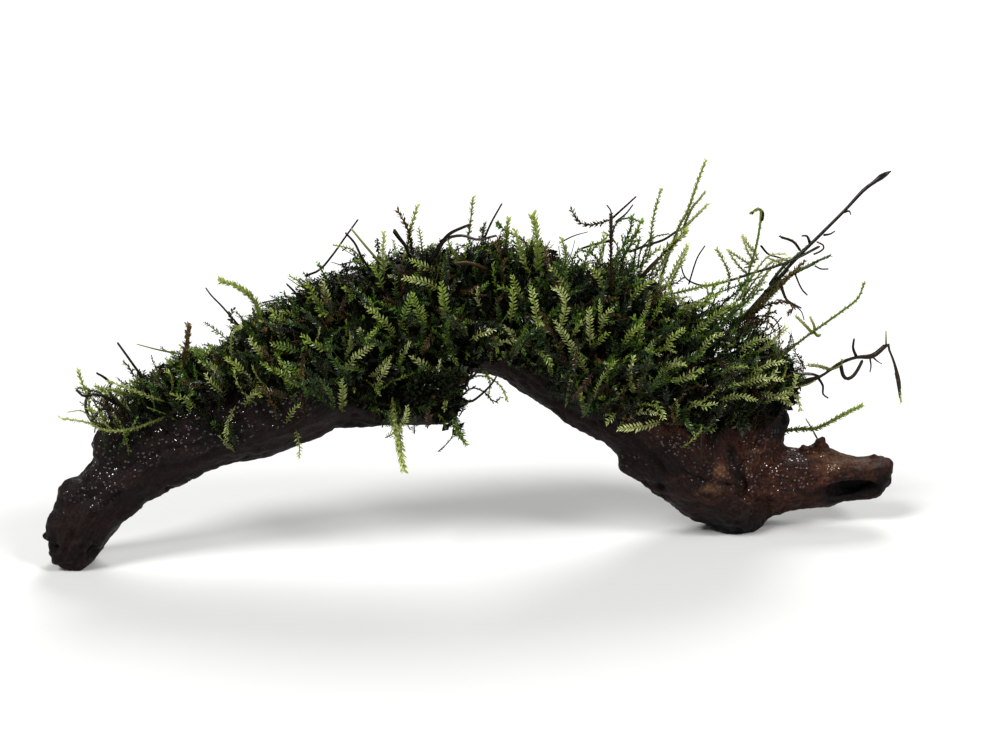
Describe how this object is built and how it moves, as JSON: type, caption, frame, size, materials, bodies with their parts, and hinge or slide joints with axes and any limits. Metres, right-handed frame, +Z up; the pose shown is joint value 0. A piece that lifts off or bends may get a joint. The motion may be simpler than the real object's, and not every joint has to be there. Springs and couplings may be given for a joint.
{
  "type": "aquarium moss on driftwood",
  "caption": "Arched, forked piece of dark driftwood on two worn feet, with clumps of green moss over its top and front and thin stems that stand clear of them",
  "frame": {"origin": "middle of the base rectangle, on the surface that the two feet stand on", "axes": "+X along the wood towards the right foot, +Y away from the front, +Z up"},
  "size_m": [0.2002, 0.0598, 0.0906],
  "materials": {
    "wet_driftwood": "wet, dark brown",
    "red_driftwood": "wet, reddish brown with fine grain",
    "moss": "matte, wet leaves",
    "young_shoots": "matte, translucent yellow-green leaves",
    "brown_stems": "matte, old brown stems",
    "black_stem": "satin, almost black"
  },
  "bodies": {
    "root": {"driftwood_left_limb": "wet_driftwood", "driftwood_arch": "wet_driftwood", "driftwood_inner_stub": "wet_driftwood", "driftwood_right_limb": "red_driftwood", "driftwood_upper_stub": "red_driftwood", "moss_left_clump": "moss", "moss_crown_clump": "moss", "moss_right_clump": "moss", "stem_low_pale": "young_shoots", "stem_thick_yellow": "young_shoots", "stem_tall_forked": "young_shoots", "stem_hooked": "young_shoots", "stem_curved_green": "young_shoots", "stem_low_green": "young_shoots", "stem_hanging": "young_shoots", "stem_brown_left": "brown_stems", "stem_brown_crown": "brown_stems", "stem_olive": "brown_stems", "stem_runner": "brown_stems", "stem_long_dark": "black_stem"}
  },
  "joints": []
}
